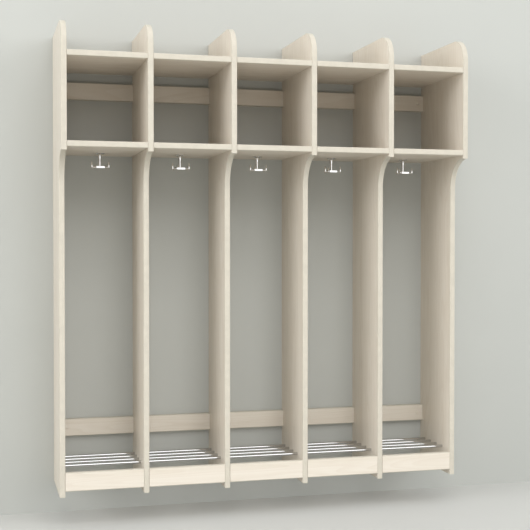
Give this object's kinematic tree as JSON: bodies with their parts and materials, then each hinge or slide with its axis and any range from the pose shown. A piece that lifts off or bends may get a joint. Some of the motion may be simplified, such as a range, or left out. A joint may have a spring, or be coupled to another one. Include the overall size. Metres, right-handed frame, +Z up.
{
  "type": "school cloakroom unit",
  "caption": "Wall-hung school cloakroom unit: hat cubbies over coat bays with triple swivel hooks and a low rack of shoe bars, between uprights with round tops and coved fronts.",
  "frame": {"origin": "centre of the four wall screw holes, on the wall plane at the back of the unit", "axes": "+Z up, +Y into the wall, so the front faces -Y, and +X to the right seen from the front"},
  "size_m": [1.419, 0.37, 1.5679],
  "materials": {
    "upright_board": "satin pale birch decor, grain upright",
    "shelf_board": "satin pale birch decor, grain along the shelf",
    "rail_board": "satin pale birch decor, grain along the rail",
    "bar_chrome": "polished chrome",
    "hook_chrome": "polished chrome"
  },
  "bodies": {
    "carcass": {"end_panel_left": "upright_board", "divider_panel_1": "upright_board", "divider_panel_2": "upright_board", "divider_panel_3": "upright_board", "divider_panel_4": "upright_board", "end_panel_right": "upright_board", "top_shelf_1": "shelf_board", "top_shelf_2": "shelf_board", "top_shelf_3": "shelf_board", "top_shelf_4": "shelf_board", "top_shelf_5": "shelf_board", "hat_shelf_1": "shelf_board", "hat_shelf_2": "shelf_board", "hat_shelf_3": "shelf_board", "hat_shelf_4": "shelf_board", "hat_shelf_5": "shelf_board", "upper_back_rail_1": "rail_board", "upper_back_rail_2": "rail_board", "upper_back_rail_3": "rail_board", "upper_back_rail_4": "rail_board", "upper_back_rail_5": "rail_board", "lower_back_rail_1": "rail_board", "lower_back_rail_2": "rail_board", "lower_back_rail_3": "rail_board", "lower_back_rail_4": "rail_board", "lower_back_rail_5": "rail_board", "front_rail_1": "rail_board", "front_rail_2": "rail_board", "front_rail_3": "rail_board", "front_rail_4": "rail_board", "front_rail_5": "rail_board", "shoe_bar_1": "bar_chrome", "shoe_bar_2": "bar_chrome", "shoe_bar_3": "bar_chrome", "shoe_bar_4": "bar_chrome", "hook_rosettes": "hook_chrome"},
    "hook_1": {"triple_hook_1": "hook_chrome"},
    "hook_2": {"triple_hook_2": "hook_chrome"},
    "hook_3": {"triple_hook_3": "hook_chrome"},
    "hook_4": {"triple_hook_4": "hook_chrome"},
    "hook_5": {"triple_hook_5": "hook_chrome"}
  },
  "joints": [
    {"name": "hook_swivel_1", "type": "hinge", "parent": "carcass", "child": "hook_1", "pos_m": [-0.56, -0.133, 0.36825], "axis": [0, 0, 1], "continuous": true},
    {"name": "hook_swivel_2", "type": "hinge", "parent": "carcass", "child": "hook_2", "pos_m": [-0.28, -0.133, 0.36825], "axis": [0, 0, 1], "continuous": true},
    {"name": "hook_swivel_3", "type": "hinge", "parent": "carcass", "child": "hook_3", "pos_m": [0, -0.133, 0.36825], "axis": [0, 0, 1], "continuous": true},
    {"name": "hook_swivel_4", "type": "hinge", "parent": "carcass", "child": "hook_4", "pos_m": [0.28, -0.133, 0.36825], "axis": [0, 0, 1], "continuous": true},
    {"name": "hook_swivel_5", "type": "hinge", "parent": "carcass", "child": "hook_5", "pos_m": [0.56, -0.133, 0.36825], "axis": [0, 0, 1], "continuous": true}
  ]
}
